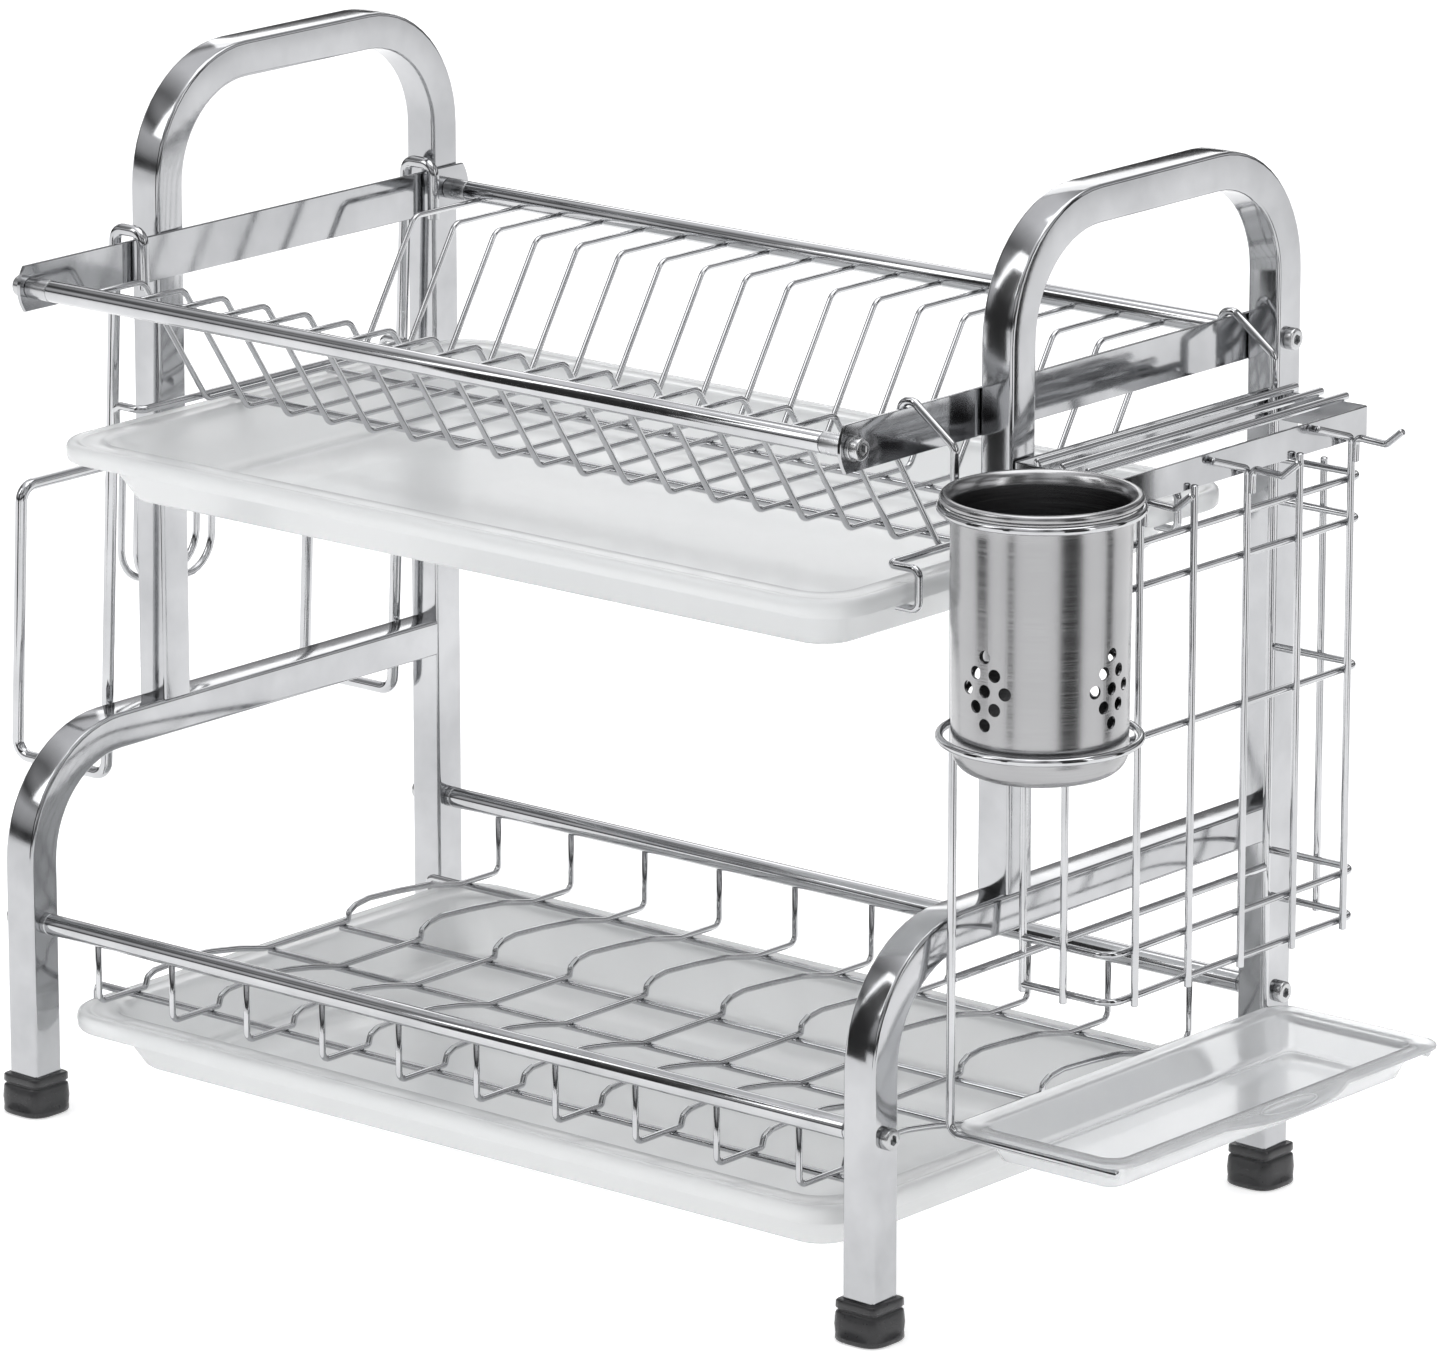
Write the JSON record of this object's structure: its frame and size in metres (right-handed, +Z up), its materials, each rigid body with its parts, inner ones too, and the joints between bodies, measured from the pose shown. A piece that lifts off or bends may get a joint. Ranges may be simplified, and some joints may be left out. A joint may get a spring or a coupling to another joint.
{
  "type": "dish drying rack",
  "caption": "Two-tier dish rack of square tube with plate and bowl rows, pull-out drip trays, a board holder and a knife, utensil and cup caddy.",
  "frame": {"origin": "centre of the whole rack's footprint, on the counter, under the bounding box", "axes": "+X across the front towards the caddy side, +Y from the front to the back, +Z up"},
  "size_m": [0.5662, 0.2502, 0.3944],
  "materials": {
    "bright_tube": "bright polished tube",
    "chrome_wire": "bright polished wire",
    "brushed_steel": "brushed round the body",
    "bolt_steel": "plain machined",
    "plug_steel": "satin",
    "rubber": "semi-gloss black",
    "white_plastic": "translucent white",
    "clear_plastic": "clear"
  },
  "bodies": {
    "rack": {"arch_tube_left": "bright_tube", "arm_tube_left": "bright_tube", "foot_left_front": "rubber", "foot_left_rear": "rubber", "side_plate_left": "bright_tube", "arch_tube_right": "bright_tube", "arm_tube_right": "bright_tube", "foot_right_front": "rubber", "foot_right_rear": "rubber", "side_plate_right": "bright_tube", "rail_upper_front": "chrome_wire", "plug_upper_front_left": "plug_steel", "bolt_upper_front_left": "bolt_steel", "washer_left": "bolt_steel", "plug_upper_front_right": "plug_steel", "bolt_upper_front_right": "bolt_steel", "washer_right": "bolt_steel", "rail_upper_rear": "chrome_wire", "plug_upper_rear_left": "plug_steel", "bolt_upper_rear_left": "bolt_steel", "plug_upper_rear_right": "plug_steel", "bolt_upper_rear_right": "bolt_steel", "rail_lower_front": "chrome_wire", "plug_lower_front_left": "plug_steel", "bolt_lower_front_left": "bolt_steel", "plug_lower_front_right": "plug_steel", "bolt_lower_front_right": "bolt_steel", "rail_lower_rear": "chrome_wire", "plug_lower_rear_left": "plug_steel", "bolt_lower_rear_left": "bolt_steel", "plug_lower_rear_right": "plug_steel", "bolt_lower_rear_right": "bolt_steel", "plate_rack_wires": "chrome_wire", "tray_hanger_left": "chrome_wire", "tray_hanger_right": "chrome_wire", "bowl_rack_wires": "chrome_wire"},
    "upper_tray": {"upper_drip_tray": "white_plastic"},
    "lower_tray": {"lower_drip_tray": "white_plastic"},
    "board_holder": {"board_holder_wire": "chrome_wire", "board_loop_inner": "chrome_wire", "board_loop_outer": "chrome_wire"},
    "caddy": {"caddy_hook_front": "chrome_wire", "caddy_hook_rear": "chrome_wire", "caddy_cross_wire": "chrome_wire", "knife_band": "chrome_wire", "knife_wire_1": "chrome_wire", "knife_wire_2": "chrome_wire", "knife_wire_3": "chrome_wire", "basket_wires": "chrome_wire", "utensil_hook_1": "chrome_wire", "utensil_hook_2": "chrome_wire", "utensil_hook_3": "chrome_wire", "cup_ring_upper": "chrome_wire", "cup_ring_lower": "chrome_wire"},
    "cup": {"utensil_cup": "brushed_steel"},
    "small_tray": {"small_drip_tray": "clear_plastic"}
  },
  "joints": [
    {"name": "upper_tray_slide", "type": "slide", "parent": "rack", "child": "upper_tray", "axis": [0, -1, 0], "range_m": [0, 0.2]},
    {"name": "lower_tray_slide", "type": "slide", "parent": "rack", "child": "lower_tray", "axis": [0, -1, 0], "range_m": [0, 0.2]},
    {"name": "board_holder_lift", "type": "slide", "parent": "rack", "child": "board_holder", "axis": [0, 0, 1], "range_m": [0, 0.027]},
    {"name": "caddy_lift", "type": "slide", "parent": "rack", "child": "caddy", "axis": [0, 0, 1], "range_m": [0, 0.03]},
    {"name": "cup_lift", "type": "slide", "parent": "caddy", "child": "cup", "axis": [0, 0, 1], "range_m": [0, 0.11]},
    {"name": "small_tray_pull", "type": "slide", "parent": "caddy", "child": "small_tray", "axis": [1, 0, 0], "range_m": [0, 0.08]}
  ]
}
